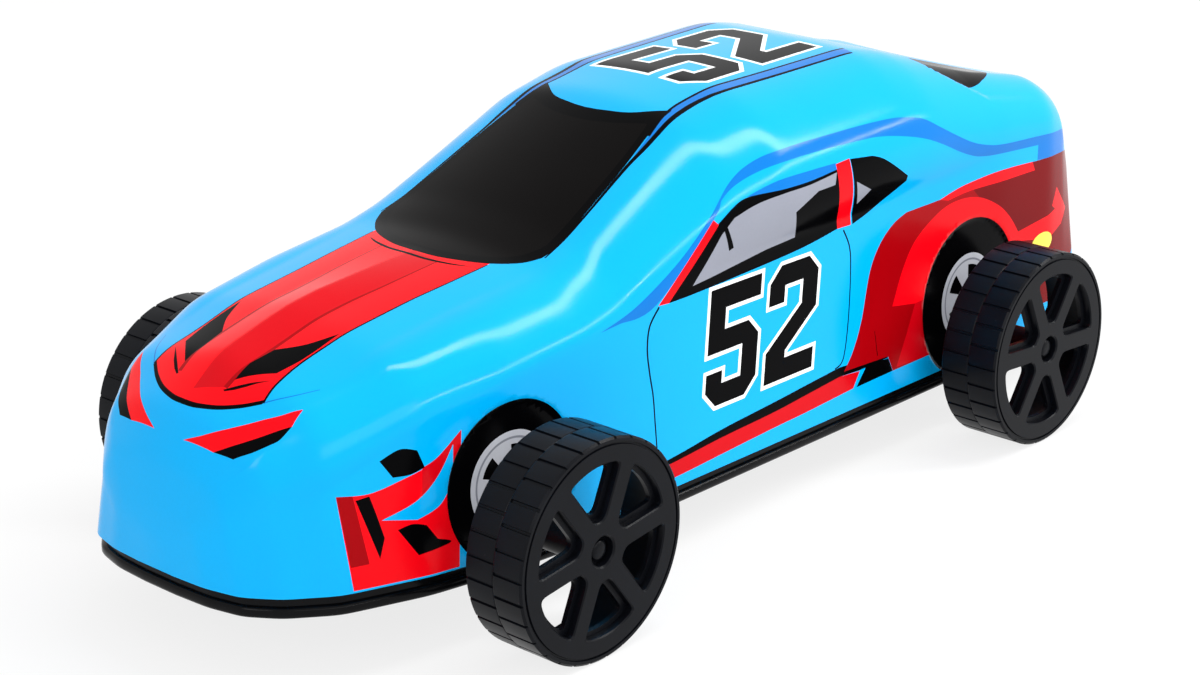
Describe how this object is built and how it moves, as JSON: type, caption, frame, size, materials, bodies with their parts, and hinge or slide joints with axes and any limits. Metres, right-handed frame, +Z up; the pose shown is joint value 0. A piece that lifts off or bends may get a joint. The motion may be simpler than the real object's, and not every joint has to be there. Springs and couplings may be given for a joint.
{
  "type": "toy racing car",
  "caption": "Free-rolling toy racing car: a glossy formed plastic shell with a printed livery on a black tray, carried by spoked plastic wheels on steel axles.",
  "frame": {"origin": "on the floor under the middle of the car", "axes": "+X to the nose, +Y to the car's left, +Z up"},
  "size_m": [0.3574, 0.164, 0.1207],
  "materials": {
    "body": "glossy thermoformed sheet, sky blue with a printed livery",
    "tray": "glossy black formed sheet",
    "axle": "drawn steel rod",
    "wheel": "satin black moulded plastic"
  },
  "bodies": {
    "chassis": {"body_shell": "body", "base_tray": "tray", "front_axle_tube": "tray", "rear_axle_tube": "tray"},
    "front_wheelset": {"front_axle": "axle", "wheel_front_left": "wheel", "wheel_front_right": "wheel", "hub_cap_front_left": "wheel", "hub_cap_front_right": "wheel"},
    "rear_wheelset": {"rear_axle": "axle", "wheel_rear_left": "wheel", "wheel_rear_right": "wheel", "hub_cap_rear_left": "wheel", "hub_cap_rear_right": "wheel"}
  },
  "joints": [
    {"name": "front_axle_spin", "type": "hinge", "parent": "chassis", "child": "front_wheelset", "pos_m": [0.1029, 0, 0.03], "axis": [0, 1, 0], "continuous": true},
    {"name": "rear_axle_spin", "type": "hinge", "parent": "chassis", "child": "rear_wheelset", "pos_m": [-0.1001, 0, 0.03], "axis": [0, 1, 0], "continuous": true}
  ]
}
